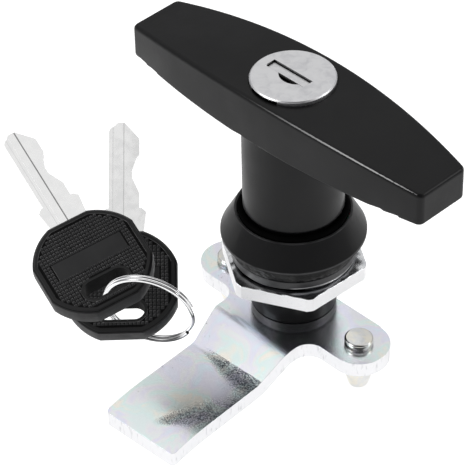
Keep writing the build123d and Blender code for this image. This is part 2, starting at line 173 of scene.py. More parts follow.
class Finish(NodeMaker):
    # one material, its Principled shader and the patterns that feed it
    def __init__(self, name, **constants):
        self.material = bpy.data.materials.new(name)
        self.material.use_nodes = True
        super().__init__(self.material.node_tree)
        self.surface = self.tree.nodes["Principled BSDF"]
        self.place = self.node("ShaderNodeTexCoord", output="Object")
        self.set(constants)

    def set(self, values):
        for name, value in values.items():
            self.feed(self.surface.inputs[name], value)

    def noise(self, size, detail=3.0, rough=0.55, stretch=(1, 1, 1), warp=0.0):
        mapped = self.node("ShaderNodeMapping", {}, {"Vector": self.place, "Scale": stretch}, "Vector")
        return self.node("ShaderNodeTexNoise", {}, {
            "Vector": mapped, "Scale": 1 / size, "Detail": detail, "Roughness": rough, "Distortion": warp})

    def normal(self):
        return self.node("ShaderNodeNewGeometry").of("Normal")

    def wall(self):
        # 1 on upright surfaces, 0 on level ones
        return 1 - abs(self.split(self.normal())[2]).spread(0.3, 0.6)

    def attribute(self, name, output):
        return self.node("ShaderNodeAttribute", {"attribute_name": name}, output=output)

    def mix(self, factor, first, second):
        first = first if isinstance(first, Signal) else (*first, 1.0)
        second = second if isinstance(second, Signal) else (*second, 1.0)
        return self.node("ShaderNodeMix", {"data_type": "RGBA"}, {0: factor, 6: first, 7: second}, 2)

    def paintShade(self, factor, color=(0.001, 0.001, 0.001)):
        # painted shade: mixes the surface toward a black diffuse in deep places, from which little light comes back
        output = self.tree.nodes["Material Output"].inputs["Surface"]
        black = self.node("ShaderNodeBsdfDiffuse", {}, {"Color": (*color, 1.0)})
        shader = Signal(self, self.surface.outputs[0])
        self.feed(output, self.node("ShaderNodeMixShader", {}, {0: factor, 1: shader, 2: black}))

    def bump(self, height, depth, strength=1.0, under=None):
        sockets = {"Height": height, "Distance": depth, "Strength": strength}
        if under:
            sockets["Normal"] = under
        return self.node("ShaderNodeBump", {}, sockets, "Normal")


# Sizes that both the finishes and the pieces follow

ringCenter = Vector((-12.89, -38.41, -10.85)) * mm
ringFacing = Vector((0.4889, -0.8585, -0.1545)).normalized()
ringAcross = Vector((0.869, 0.4949, 0.0)).normalized()

bowSizes = {"flat": 14.2 * mm, "corner": 5.5 * mm, "rim": 1.75 * mm, "labelHalf": (9.7 * mm, 2.7 * mm),
            "labelUp": 1.2 * mm, "slotHalf": 3.4 * mm, "slotRadius": 3.4 * mm, "slotDown": 7.9 * mm,
            "thickness": 5.3 * mm, "recess": 0.3 * mm, "pitch": 1.0 * mm, "dot": 0.62 * mm, "dotTop": 0.4,
            "dotHeight": 0.3 * mm, "dotSunk": 0.02 * mm}


# Finishes

def blackCoatFinish():
    # rim and bright are the painted highlight colours of the marks below
    look = {"color": (0.0035, 0.0035, 0.0039), "worn": (0.0055, 0.0055, 0.006), "rim": (0.06, 0.06, 0.062),
            "bright": (0.5, 0.5, 0.5), "rough": (0.42, 0.55), "cloudSize": 14 * mm,
            "peelSize": 0.9 * mm, "peelDepth": 0.012 * mm, "grainSize": 0.16 * mm, "grainDepth": 0.004 * mm,
            "grainRough": 0.05, "lowRim": 0.5 * mm, "lowSoft": (0.05 * mm, 0.3 * mm), "lowBeyond": 18.0 * mm,
            "highRim": 7.05 * mm, "highSoft": (0.02 * mm, 0.16 * mm), "highBeyond": 14.2 * mm,
            "highWithin": 15.2 * mm, "highShare": 0.8, "rimGleamSize": 6 * mm, "rimGleamVary": (0.35, 1.0),
            "barAbove": 40 * mm, "highlightFacing": (0.12, -0.7, 0.7), "highlightWidth": (0.983, 0.996),
            "highlightFade": (-6 * mm, 36 * mm), "highlightShare": (0.03, 1.0)}
    f = Finish("blackCoat", **{"Specular IOR Level": 0.12, "Coat Weight": 0.2, "Coat Roughness": 0.13})
    across, along, height = f.split(f.place)
    reach = (across * across + along * along).root()
    # painted highlight: a lighter line of colour on the flange's two rims, where the light catches them
    low = (1 - abs(height - look["lowRim"]).spread(*look["lowSoft"])) * (reach > look["lowBeyond"])
    high = (1 - abs(height - look["highRim"]).spread(*look["highSoft"])) * (reach > look["highBeyond"])
    high = high * (reach < look["highWithin"]) * look["highShare"]
    rimHighlights = (low + high) * f.noise(look["rimGleamSize"], 2).spread(0.3, 0.6, *look["rimGleamVary"])
    # painted highlight along the near edge of the bar's top, stronger to the right
    edge = f.toward(f.normal(), Vector(look["highlightFacing"]).normalized()).spread(*look["highlightWidth"])
    edge = edge * (height > look["barAbove"]) * across.spread(*look["highlightFade"], *look["highlightShare"])
    cloud = f.noise(look["cloudSize"], 4)
    peel = f.noise(look["peelSize"], 2)
    grain = f.noise(look["grainSize"], 2)
    coat = f.mix(rimHighlights.clamped(), f.mix(cloud, look["color"], look["worn"]), look["rim"])
    f.set({"Base Color": f.mix(edge, coat, look["bright"]),
           "Roughness": cloud.spread(0.3, 0.7, *look["rough"]) + grain * look["grainRough"],
           "Normal": f.bump(grain, look["grainDepth"], under=f.bump(peel, look["peelDepth"]))})
    return f.material


def rubberFinish():
    # the gasket lies below the level of the flange's foot and the neck seal above it
    look = {"color": (0.003, 0.003, 0.0033), "bloom": (0.006, 0.006, 0.0065), "rough": (0.5, 0.75),
            "coat": (0.45, 0.15), "smearSize": 3.5 * mm, "grainSize": 0.12 * mm, "grainDepth": 0.006 * mm,
            "sealShade": 0.85}
    f = Finish("sealRubber", **{"Specular IOR Level": 0.1, "Coat Roughness": 0.22})
    height = f.split(f.place)[2]
    smear = f.noise(look["smearSize"], 5, stretch=(1, 1, 2.2), warp=0.6)
    grain = f.noise(look["grainSize"], 2)
    f.set({"Base Color": f.mix(smear.spread(0.5, 0.8), look["color"], look["bloom"]),
           "Roughness": smear.spread(0.35, 0.65, *look["rough"]),
           "Coat Weight": (height < 0.0) * smear.spread(0.3, 0.7, *look["coat"]),
           "Normal": f.bump(grain, look["grainDepth"])})
    # painted shade: the neck seal, down in the gap above the flange's foot, is mixed toward black
    f.paintShade((height > 0.0) * look["sealShade"])
    return f.material


def blackWasherFinish():
    look = {"color": (0.016, 0.016, 0.018), "bareAndHighlight": (0.35, 0.35, 0.36), "rough": (0.28, 0.5),
            "rubSize": 1.4 * mm, "grainSize": 0.2 * mm, "grainDepth": 0.008 * mm,
            "glintAbove": -7 * mm, "glintBelow": -6.3 * mm, "glintBeyond": 15.7 * mm,
            "glintFrom": (10 * mm, 14 * mm), "glintShare": 4.0}
    f = Finish("blackWasher", Metallic=0.0)
    rub = f.noise(look["rubSize"], 4, 0.7)
    across, along, height = f.split(f.place)
    # painted highlight: the clamp washer's lower edge is painted bright on the right, where the light catches it;
    # elsewhere the same colour marks rubbed wear
    reach = (across * across + along * along).root()
    bright = (height < look["glintBelow"]) * (height > look["glintAbove"]) * (reach > look["glintBeyond"])
    bright = bright * across.spread(*look["glintFrom"]) * look["glintShare"]
    f.set({"Base Color": f.mix(f.larger(bright, rub.spread(0.66, 0.8)).clamped(), look["color"], look["bareAndHighlight"]),
           "Roughness": rub.spread(0.2, 0.8, *look["rough"]),
           "Normal": f.bump(f.noise(look["grainSize"], 3), look["grainDepth"])})
    return f.material


def zincFinish():
    look = {"pale": (0.80, 0.81, 0.825), "dark": (0.62, 0.635, 0.66), "wall": (0.97, 0.97, 0.98),
            "flangeShade": (0.02, 0.02, 0.024), "rough": (0.1, 0.24), "cloudSize": 4 * mm, "wornSize": 0.45 * mm,
            "pitSize": 0.6 * mm, "pitDepth": 0.012 * mm, "flangeShadeAbove": -7.47 * mm, "flangeShadeFade": (12 * mm, 14 * mm),
            "darkerShare": 0.45, "wallMatt": 0.85, "wallRough": 0.22}
    f = Finish("zincPlate")
    across, _, height = f.split(f.place)
    wall = f.wall()
    cloud = f.noise(look["cloudSize"], 4)
    pits = f.noise(look["pitSize"], 3, 0.6)
    # painted shade and painted dark reflection: under the black flange, the washer and the top of the nut are darkened,
    # except on the right
    inFlangeShade = (height > look["flangeShadeAbove"]) * (1 - across.spread(*look["flangeShadeFade"]))
    worn = wall * (1 - f.noise(look["wornSize"], 3, 0.7).spread(0.56, 0.7) * look["darkerShare"])
    pale = f.mix(worn, f.mix(cloud.spread(0.4, 0.7), look["pale"], look["dark"]), look["wall"])
    f.set({"Base Color": f.mix(inFlangeShade, pale, look["flangeShade"]),
           "Metallic": 1 - wall * look["wallMatt"],
           "Roughness": pits.spread(0.3, 0.75, *look["rough"]) + wall * look["wallRough"],
           "Normal": f.bump(pits.spread(0.36, 0.5), look["pitDepth"], 0.5)})
    return f.material


def camZincFinish():
    look = {"lavender": (0.80, 0.79, 0.89), "cream": (0.88, 0.86, 0.79), "mint": (0.75, 0.87, 0.86),
            "ice": (0.75, 0.83, 0.91), "plain": (0.83, 0.84, 0.86), "wall": (0.79, 0.79, 0.805),
            "shade": (0.035, 0.038, 0.058), "rough": (0.2, 0.27), "tintSize": 9 * mm,
            "waveSize": 9 * mm, "waveDepth": 0.02 * mm, "grainSize": 0.32 * mm, "grainDepth": 0.0035 * mm,
            "shearSize": 0.7 * mm, "shearShare": 0.3, "wallRough": 0.1, "patchSize": 5 * mm, "speckSize": 0.5 * mm,
            "speckFade": (-9 * mm, -4 * mm), "speckShare": 0.7, "reflectionAbove": -30.2 * mm, "reflectionRough": 0.1,
            "footStart": -24.8 * mm, "footSlant": 0.28, "footLength": 3.7 * mm, "footFrom": (-9 * mm, 1 * mm),
            "edgeFrom": (8.5 * mm, 12.8 * mm), "edgeEnd": (-47 * mm, -44 * mm), "edgeStart": -24.6 * mm,
            "lobeTip": (3.0 * mm, -51.5 * mm), "lobeToward": (0.6, 0.8), "lobeLength": 15 * mm,
            "lobeHalf": 1.2 * mm, "lobeFlare": 5 * mm, "lobeShare": 0.9}
    f = Finish("camZinc", Metallic=1.0)
    across, along, height = f.split(f.place)
    wall = f.wall()
    shear = f.noise(look["shearSize"], 3, stretch=(1, 1, 0.25))
    tint = f.noise(look["tintSize"], 2, 0.5, warp=0.8)
    grain = f.noise(look["grainSize"], 2, 0.6)
    patch = f.noise(look["patchSize"], 2)
    color = f.ramp(tint, [(0.30, look["ice"]), (0.42, look["lavender"]), (0.50, look["plain"]),
                          (0.58, look["mint"]), (0.68, look["cream"])])
    # painted dark reflection of the black handle and flange on the top: a band past the joggle, the right edge, and a
    # lobe that widens from the tip
    onTop = (height > look["reflectionAbove"]) * (f.split(f.normal())[2] > 0.8)
    down = (look["footStart"] - along) / (across * look["footSlant"] + look["footLength"])
    byFoot = (1 - down.spread(0.45, 1.15)) * (down > -0.1) * across.spread(*look["footFrom"])
    byEdge = across.spread(*look["edgeFrom"]) * along.spread(*look["edgeEnd"]) * (along < look["edgeStart"])
    right, back = across - look["lobeTip"][0], along - look["lobeTip"][1]
    towardX, towardY = look["lobeToward"]
    reach = (right * towardX + back * towardY) / look["lobeLength"]
    aside = abs(right * towardY - back * towardX) / (reach * look["lobeFlare"] + look["lobeHalf"])
    lobe = (1 - aside.spread(0.3, 1.15)) * reach.spread(-0.1, 0.2) * (1 - reach.spread(0.9, 1.25)) * look["lobeShare"]
    darkReflection = f.larger(f.larger(byFoot, byEdge), lobe) * onTop * patch.spread(0.28, 0.5, 0.6, 1.0)
    dark = darkReflection * grain.spread(0.42, 0.62, 1.0, 0.25)
    specks = f.noise(look["speckSize"], 2, 0.4).spread(0.70, 0.76) * look["speckShare"]
    specks = specks * (1 - across.spread(*look["speckFade"]))
    sheared = wall * shear.spread(0.55, 0.75, 0.0, look["shearShare"])
    wave = f.bump(f.noise(look["waveSize"], 1), look["waveDepth"])
    rough = grain.spread(0.3, 0.7, *look["rough"]) + darkReflection * look["reflectionRough"] + wall * look["wallRough"]
    f.set({"Base Color": f.mix((dark + specks + sheared).clamped(), f.mix(wall, color, look["wall"]), look["shade"]),
           "Roughness": rough,
           "Normal": f.bump(grain, look["grainDepth"], 1.0, wave)})
    return f.material


def pinFinish():
    look = {"color": (0.66, 0.66, 0.65), "warm": (0.74, 0.71, 0.63), "rough": (0.06, 0.14),
            "turningSize": 0.5 * mm, "turningDepth": 0.002 * mm, "warmSize": 2.5 * mm}
    f = Finish("pinSteel", Metallic=1.0)
    turning = f.noise(look["turningSize"], 3, stretch=(0.3, 0.3, 3))
    f.set({"Base Color": f.mix(f.noise(look["warmSize"], 2).spread(0.4, 0.65), look["color"], look["warm"]),
           "Roughness": turning.spread(0.3, 0.7, *look["rough"]),
           "Normal": f.bump(turning, look["turningDepth"], 0.6)})
    return f.material


def faceFinish():
    # painted shade lies in two corners between the window and its shutter, each a thin line: middle and half size
    look = {"color": (0.79, 0.79, 0.80), "smudge": (0.66, 0.66, 0.68), "windowShade": (0.01, 0.01, 0.01),
            "rough": (0.30, 0.42), "blastSize": 0.28 * mm, "blastDepth": 0.008 * mm,
            "blastRough": 0.05, "smudgeSize": 2.6 * mm,
            "farAcross": (-1.4 * mm, 6.4 * mm), "farAlong": (1.45 * mm, 0.17 * mm),
            "sideAcross": (-7.65 * mm, 0.16 * mm), "sideAlong": (0.25 * mm, 1.35 * mm), "cornerShade": 0.9,
            "slotBelow": 47.3 * mm, "slotNear": -0.95 * mm, "slotHalf": 4.2 * mm}
    f = Finish("satinFace", Metallic=1.0)
    blast = f.noise(look["blastSize"], 3, 0.7)
    smudge = f.noise(look["smudgeSize"], 5, 0.6, warp=0.5)
    across, along, height = f.split(f.place)
    far = across.near(*look["farAcross"]) * along.near(*look["farAlong"])
    side = across.near(*look["sideAcross"]) * along.near(*look["sideAlong"])
    face = f.mix(smudge.spread(0.4, 0.8), look["color"], look["smudge"])
    # and painted shadow under the window's near edge
    under = (height < look["slotBelow"]) * (along < look["slotNear"]) * (abs(across) < look["slotHalf"])
    windowShade = f.larger(f.larger(far, side) * look["cornerShade"], under)
    f.set({"Base Color": f.mix(windowShade, face, look["windowShade"]),
           "Roughness": smudge.spread(0.3, 0.7, *look["rough"]) + blast * look["blastRough"],
           "Normal": f.bump(blast, look["blastDepth"], 0.6)})
    return f.material


def dieCastFinish():
    look = {"color": (0.52, 0.53, 0.55), "dull": (0.38, 0.39, 0.41), "rough": (0.34, 0.55),
            "skinSize": 1.1 * mm, "skinDepth": 0.03 * mm, "shadeAbove": 40 * mm}
    f = Finish("dieCast", Metallic=1.0)
    skin = f.noise(look["skinSize"], 5, 0.65)
    f.set({"Base Color": f.mix(skin.spread(0.4, 0.7), look["color"], look["dull"]),
           "Roughness": skin.spread(0.3, 0.7, *look["rough"]),
           "Normal": f.bump(skin, look["skinDepth"], 0.6)})
    # painted shade: the plug's end is seen only down the window in the face, so it is mixed toward black there
    f.paintShade(f.split(f.place)[2] > look["shadeAbove"])
    return f.material


def springFinish():
    look = {"dark": (0.42, 0.43, 0.46), "pale": (0.55, 0.55, 0.57), "rough": (0.22, 0.36), "drawnSize": 0.2 * mm}
    f = Finish("springSteel", Metallic=1.0)
    drawn = f.noise(look["drawnSize"], 2, stretch=(1, 1, 0.2))
    f.set({"Base Color": f.mix(drawn, look["dark"], look["pale"]),
           "Roughness": drawn.spread(0.3, 0.7, *look["rough"])})
    return f.material


def ringFinish():
    look = {"dark": (0.74, 0.74, 0.75), "pale": (0.84, 0.84, 0.84), "line": (0.03, 0.03, 0.032),
            "rough": (0.04, 0.09), "drawnSize": 0.35 * mm, "drawnDepth": 0.002 * mm,
            "reflectionLineShare": 0.8, "darkerShare": 0.85, "darkerBelow": (-20 * mm, -17 * mm)}
    f = Finish("ringChrome", Metallic=1.0)
    drawn = f.noise(look["drawnSize"], 3, stretch=(1, 1, 0.4))
    height = f.split(f.place)[2]
    turned = f.toward(f.normal(), ringFacing)
    # painted dark reflection: a dark line along the wire where it faces a band of directions; and the ring is darker
    # towards the bottom
    line = turned.spread(0.3, 0.4) * (1 - turned.spread(0.5, 0.62)) * look["reflectionLineShare"]
    worn = (1 - height.spread(*look["darkerBelow"])) * (1 - turned.spread(0.05, 0.2) * (1 - turned.spread(0.3, 0.5)))
    bright = f.mix(drawn, look["dark"], look["pale"])
    f.set({"Base Color": f.mix(f.larger(line, worn * look["darkerShare"]), bright, look["line"]),
           "Roughness": drawn.spread(0.35, 0.7, *look["rough"]),
           "Normal": f.bump(drawn, look["drawnDepth"], 0.5)})
    return f.material


def brassFinish():
    look = {"color": (0.80, 0.58, 0.26), "dull": (0.62, 0.42, 0.17), "rough": (0.2, 0.38), "skinSize": 0.8 * mm}
    f = Finish("stampedBrass", Metallic=1.0)
    skin = f.noise(look["skinSize"], 4)
    f.set({"Base Color": f.mix(skin.spread(0.4, 0.65), look["color"], look["dull"]),
           "Roughness": skin.spread(0.3, 0.7, *look["rough"])})
    return f.material


def nylonFinish():
    look = {"color": (0.80, 0.78, 0.70), "aged": (0.72, 0.69, 0.60), "rough": (0.35, 0.5), "skinSize": 2 * mm,
            "glowDepth": 2 * mm}
    f = Finish("naturalNylon", **{"Subsurface Weight": 0.2, "Subsurface Scale": look["glowDepth"]})
    skin = f.noise(look["skinSize"], 3)
    f.set({"Base Color": f.mix(skin, look["color"], look["aged"]),
           "Roughness": skin.spread(0.3, 0.7, *look["rough"])})
    return f.material


def plasticFinish():
    look = {"color": (0.0045, 0.0045, 0.005), "rubbed": (0.008, 0.008, 0.0085), "label": (0.014, 0.014, 0.015),
            "rough": (0.42, 0.58), "rubSize": 4 * mm, "grainSize": 0.14 * mm, "grain": 0.012,
            "parting": 0.1, "partingHalf": 0.09 * mm, "slotWall": 2.64 * mm, "slotShade": 0.8,
            "fieldHalf": 0.05 * mm, "fieldShade": 0.75, "labelBeyond": 1.5 * mm}
    s = bowSizes
    f = Finish("keyPlastic", **{"Specular IOR Level": 0.3})
    rub = f.noise(look["rubSize"], 5, 0.6)
    grain = f.noise(look["grainSize"], 3)
    across, along, height = f.split(f.attribute("keySpot", "Vector"))
    # the two halves of the mould meet half way up the wall
    depth = abs(height + s["thickness"] / 2)
    parting = depth < look["partingHalf"]
    beside = f.larger(abs(across) - s["slotHalf"], 0.0)
    inSlot = (beside * beside + (along + s["slotDown"]) ** 2) < look["slotWall"] ** 2
    betweenStuds = depth.near(s["thickness"] / 2 - s["recess"], look["fieldHalf"])
    # painted shade inside the slot for the ring and on the floor between the studs
    f.paintShade(f.larger(inSlot * look["slotShade"], betweenStuds * look["fieldShade"]))
    labelLong, labelWide = s["labelHalf"]
    label = (abs(across) < labelLong) * along.near(s["labelUp"], labelWide) * (depth > look["labelBeyond"])
    f.set({"Base Color": f.mix(label, f.mix(rub.spread(0.45, 0.7), look["color"], look["rubbed"]), look["label"]),
           "Roughness": rub.spread(0.3, 0.7, *look["rough"]),
           "Normal": f.bump(grain * look["grain"] - parting * look["parting"], 1 * mm, 0.8)})
    return f.material


def keyNickelFinish():
    # darker lines along both corners of the wide groove, each a soft line: half width and fade
    look = {"color": (0.82, 0.82, 0.815), "dull": (0.79, 0.79, 0.79), "line": (0.12, 0.12, 0.12),
            "rough": (0.22, 0.30), "rollSize": 2.5 * mm, "rollDepth": 0.003 * mm, "rightCorner": 0.42 * mm,
            "rightSoft": (0.06 * mm, 0.2 * mm), "leftCorner": -2.45 * mm, "leftSoft": (0.05 * mm, 0.16 * mm),
            "leftShare": 0.2}
    f = Finish("keyNickel", Metallic=1.0)
    roll = f.noise(look["rollSize"], 2, 0.5)
    across = f.split(f.attribute("keySpot", "Vector"))[0]
    right = (1 - abs(across - look["rightCorner"]).spread(*look["rightSoft"])) * f.attribute("grooveDirt", "Fac")
    left = (1 - abs(across - look["leftCorner"]).spread(*look["leftSoft"])) * look["leftShare"]
    f.set({"Base Color": f.mix((right + left).clamped(), f.mix(roll, look["color"], look["dull"]), look["line"]),
           "Roughness": roll.spread(0.3, 0.7, *look["rough"]),
           "Normal": f.bump(roll, look["rollDepth"], 0.6)})
    return f.material


finishes = {
    "black_coat": blackCoatFinish(), "seal_rubber": rubberFinish(), "black_washer": blackWasherFinish(),
    "zinc_plate": zincFinish(), "nylon": nylonFinish(), "cam_zinc": camZincFinish(), "pin_steel": pinFinish(),
    "die_cast": dieCastFinish(), "satin_face": faceFinish(), "spring_steel": springFinish(),
    "ring_chrome": ringFinish(), "brass": brassFinish(), "key_plastic": plasticFinish(),
    "key_nickel": keyNickelFinish(),
}
for name, node in nodes.items():
    node.data.materials.clear()
    node.data.materials.append(finishes[slotOf[name]])
print("finishes made:", len(finishes))


# What the pieces share

def inScene(name, data):
    made = bpy.data.objects.new(name, data)
    bpy.context.scene.collection.objects.link(made)
    return made


def newPiece(name, mesh, body, slot, standsFor=()):
    piece = inScene(name, mesh)
    if not mesh.materials:
        mesh.materials.append(finishes[slot])
    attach(piece, body)
    if standsFor:
        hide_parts(*standsFor)
    return piece


def meshFrom(work, name):
    mesh = bpy.data.meshes.new(name)
    work.to_mesh(mesh)
    work.free()
    return mesh


def smoothed(mesh, crease):
    mesh.shade_smooth()
    mesh.set_sharp_from_angle(angle=math.radians(crease))


def breakEdges(piece, width, crease, segments=2):
    bevel = piece.modifiers.new("brokenEdge", "BEVEL")
    bevel.width = width
    bevel.segments = segments
    bevel.limit_method = "ANGLE"
    bevel.angle_limit = math.radians(crease)


def baked(piece):
    # the plain mesh that a piece's modifiers give
    evaluated = piece.evaluated_get(bpy.context.evaluated_depsgraph_get())
    mesh = bpy.data.meshes.new_from_object(evaluated)
    bpy.data.objects.remove(piece)
    return mesh


def placeFrom(origin, across, facing):
    across = (across - facing * across.dot(facing)).normalized()
    upward = facing.cross(across)
    turned = Matrix((across, upward, facing)).transposed().to_4x4()
    return Matrix.Translation(origin) @ turned


class GrowthTree(NodeMaker):
    # a Geometry Nodes tree with named inputs, run once to give a plain mesh
    def __init__(self, name, **inputs):
        super().__init__(bpy.data.node_groups.new(name, "GeometryNodeTree"))
        self.tree.interface.new_socket("Geometry", in_out="OUTPUT", socket_type="NodeSocketGeometry")
        self.values = {}
        for label, value in inputs.items():
            kind = "NodeSocketInt" if isinstance(value, int) else "NodeSocketFloat"
            socket = self.tree.interface.new_socket(label, in_out="INPUT", socket_type=kind)
            self.values[socket.identifier] = value
        self.given = self.node("NodeGroupInput")
        self.end = self.tree.nodes.new("NodeGroupOutput")

    def input(self, name):
        return self.given.of(name)

    def finish(self, geometry, material):
        real = self.node("GeometryNodeRealizeInstances", {}, {"Geometry": geometry})
        shown = self.node("GeometryNodeSetMaterial", {}, {"Geometry": real, "Material": material})
        self.feed(self.end.inputs[0], shown)
        holder = inScene("holder", bpy.data.meshes.new("holder"))
        modifier = holder.modifiers.new("growth", "NODES")
        modifier.node_group = self.tree
        for identifier, value in self.values.items():
            modifier[identifier] = value
        return baked(holder)


# Split ring: two close turns of round wire, with one step from the lower to the upper

ringSizes = {"radius": 11.45 * mm, "wire": 0.4925 * mm, "spread": 0.49 * mm, "splitAngle": 355.0, "stepAngle": 42.0,
             "endGap": 1.15, "points": 320, "sides": 20, "crease": 50.0}


def splitRing():
    s = ringSizes
    tree = GrowthTree("splitRingGrowth", Radius=s["radius"], Wire=s["wire"], Spread=s["spread"],
                      Split=math.radians(s["splitAngle"]), Step=math.radians(s["stepAngle"]), Points=s["points"])
    line = tree.node("GeometryNodeCurvePrimitiveLine", {}, {"Start": (0, 0, 0), "End": (0, 0, 1)})
    path = tree.node("GeometryNodeResampleCurve", {}, {"Curve": line, "Count": tree.input("Points")})
    along = tree.node("GeometryNodeSplineParameter", {}, {}, "Factor")
    whole = 4 * math.pi - tree.input("Step") * s["endGap"]
    turn = along * whole
    lift = (turn + tree.input("Step") - 2 * math.pi) / tree.input("Step")
    height = (lift.clamped().spread(0, 1) * 2 - 1) * tree.input("Spread")
    angle = turn + tree.input("Split") + tree.input("Step") / 2
    point = tree.node("ShaderNodeCombineXYZ", {}, {
        "X": tree.maths("COSINE", angle) * tree.input("Radius"),
        "Y": tree.maths("SINE", angle) * tree.input("Radius"), "Z": height})
    coil = tree.node("GeometryNodeSetPosition", {}, {"Geometry": path, "Position": point})
    wire = tree.node("GeometryNodeCurvePrimitiveCircle", {}, {"Resolution": s["sides"], "Radius": tree.input("Wire")})
    body = tree.node("GeometryNodeCurveToMesh", {}, {"Curve": coil, "Profile Curve": wire, "Fill Caps": True})
    mesh = tree.finish(body, finishes["ring_chrome"])
    mesh.transform(placeFrom(ringCenter, ringAcross, ringFacing))
    smoothed(mesh, s["crease"])
    # the ring and the keys were photographed apart, so they don't show in the cam's shine
    newPiece("splitRingWire", mesh, "split_ring", "ring_chrome", ["split_ring"]).visible_glossy = False


splitRing()
print("split ring wound")


# Keys: the dotted field on both faces of each bow

keyHang = {1: {"slip": 0.0, "rise": 0.0, "side": (0.3039, 0.9304, 0.205), "up": (0.1763, -0.2664, 0.9476)},
           2: {"slip": -2.75 * mm, "rise": -0.23 * mm, "side": (0.7045, 0.7092, 0.0262),
               "up": (0.276, -0.3077, 0.9106)}}


def keyPlace(number):
    # from the key's own frame, which lies on the bow's upper face, to the scene
    hang = keyHang[number]
    wire = Vector(joints[f"key_{number}_swing"]["pos_m"])
    hung = placeFrom(wire, Vector(hang["side"]), Vector(hang["up"]).normalized())
    return hung @ Matrix.Translation((-hang["slip"], bowSizes["slotDown"] + hang["rise"],
                                      bowSizes["thickness"] / 2))


def dottedField():
    s = bowSizes
    tree = GrowthTree("dottedField", Flat=s["flat"] - s["rim"], Round=math.hypot(s["flat"], s["corner"]) - s["rim"],
                      LabelLong=s["labelHalf"][0], LabelWide=s["labelHalf"][1], LabelUp=s["labelUp"],
                      SlotHalf=s["slotHalf"], SlotRadius=s["slotRadius"], SlotDown=s["slotDown"],
                      Pitch=s["pitch"], Dot=s["dot"], DotHeight=s["dotHeight"])
    count = int(2 * s["flat"] / s["pitch"])
    side = tree.input("Pitch") * (count - 1)
    grid = tree.node("GeometryNodeMeshGrid", {}, {
        "Size X": side, "Size Y": side, "Vertices X": count, "Vertices Y": count})
    x, y, _ = tree.split(tree.node("GeometryNodeInputPosition"))
    flat = tree.input("Flat")
    outside = (abs(x) > flat) + (abs(y) > flat) + ((x * x + y * y) > tree.input("Round") ** 2)
    onLabel = (abs(x) < tree.input("LabelLong")) * y.near(tree.input("LabelUp"), tree.input("LabelWide"))
    along = tree.larger(abs(x) - tree.input("SlotHalf"), 0.0)
    down = y + tree.input("SlotDown")
    onSlot = (along * along + down * down) < tree.input("SlotRadius") ** 2
    kept = tree.node("GeometryNodeDeleteGeometry", {"domain": "POINT"}, {
        "Geometry": grid, "Selection": (outside + onLabel + onSlot) > 0.5})
    dot = tree.node("GeometryNodeMeshCone", {"fill_type": "NGON"}, {
        "Vertices": 4, "Radius Top": tree.input("Dot") * s["dotTop"], "Radius Bottom": tree.input("Dot"),
        "Depth": tree.input("DotHeight")}, "Mesh")
    dots = tree.node("GeometryNodeInstanceOnPoints", {}, {
        "Points": kept, "Instance": dot, "Rotation": (0, 0, math.pi / 4)})
    return tree.finish(dots, finishes["key_plastic"])


def keyDots(number):
    s = bowSizes
    field = dottedField()
    middle = Matrix.Translation((0, 0, -s["thickness"] / 2))
    lift = Matrix.Translation((0, 0, s["thickness"] / 2 - s["recess"] - s["dotSunk"]))
    work = bmesh.new()
    for turn in (0, 180):
        side = field.copy()
        flip = Matrix.Rotation(math.radians(turn), 4, "Y")
        side.transform(keyPlace(number) @ middle @ flip @ lift)
        work.from_mesh(side)
    mesh = meshFrom(work, "keyDots")
    newPiece(f"keyDots_{number}", mesh, f"key_{number}", "key_plastic").visible_glossy = False


for number in keyHang:
    keyDots(number)
print("key bows dotted")


# Gasket: a soft ring, creased where the flange squeezes it

gasketSizes = {"deep": 1.4 * mm, "edge": 0.5 * mm, "crease": 0.16 * mm, "creaseSize": 2.2 * mm,
               "creaseWidth": 0.22, "creaseWarp": 1.2, "outward": 0.4, "room": 0.5, "seed": 7, "rings": 260,
               "around": 64}


def creasedGasket():
    s = gasketSizes
    low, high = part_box("gasket")
    tree = GrowthTree("gasketGrowth", Radius=high.x - s["crease"] * s["room"] - s["deep"], Deep=s["deep"],
                      Tall=high.z - low.z, Crease=s["crease"], CreaseSize=s["creaseSize"], Seed=s["seed"])
    loop = tree.node("GeometryNodeCurvePrimitiveCircle", {}, {"Resolution": s["rings"], "Radius": tree.input("Radius")})
    band = tree.node("GeometryNodeCurvePrimitiveQuadrilateral", {"mode": "RECTANGLE"}, {
        "Width": tree.input("Deep") * 2, "Height": tree.input("Tall")})
    rounded = tree.node("GeometryNodeFilletCurve", {"mode": "POLY"}, {
        "Curve": band, "Radius": s["edge"], "Limit Radius": True, "Count": 4})
    fine = tree.node("GeometryNodeResampleCurve", {}, {"Curve": rounded, "Count": s["around"]})
    ring = tree.node("GeometryNodeCurveToMesh", {}, {"Curve": loop, "Profile Curve": fine})
    folds = tree.node("ShaderNodeTexNoise", {"noise_dimensions": "4D"}, {
        "Vector": tree.node("GeometryNodeInputPosition"), "W": tree.input("Seed") * 1.0,
        "Scale": 1 / tree.input("CreaseSize"), "Detail": 2.0, "Distortion": s["creaseWarp"]})
    ridge = 1 - abs(folds * 2 - 1).spread(0.0, s["creaseWidth"])
    push = tree.node("ShaderNodeVectorMath", {"operation": "SCALE"}, {
        0: tree.node("GeometryNodeInputNormal"), "Scale": (s["outward"] - ridge) * tree.input("Crease")})
    moved = tree.node("GeometryNodeSetPosition", {}, {"Geometry": ring, "Offset": push})
    mesh = tree.finish(moved, finishes["seal_rubber"])
    mesh.transform(Matrix.Translation((0, 0, (low.z + high.z) / 2)))
    mesh.shade_smooth()
    newPiece("creasedGasket", mesh, "housing", "seal_rubber", ["gasket"])


creasedGasket()
print("gasket creased")


# Panel nut: a hexagon with a washer face, whose wall has a slightly wavy upper edge

nutSizes = {"flats": 33.65 * mm, "corner": 18.95 * mm, "bore": 11.1 * mm, "turn": 27.1, "seat": 14.7 * mm,
            "step": 0.75 * mm, "dip": 0.04, "columns": 240,
            "waves": ((5, 1.0, 0.13 * mm), (13, 2.3, 0.08 * mm), (31, 0.4, 0.06 * mm)),
            "edge": 0.1 * mm, "crease": 20.0}


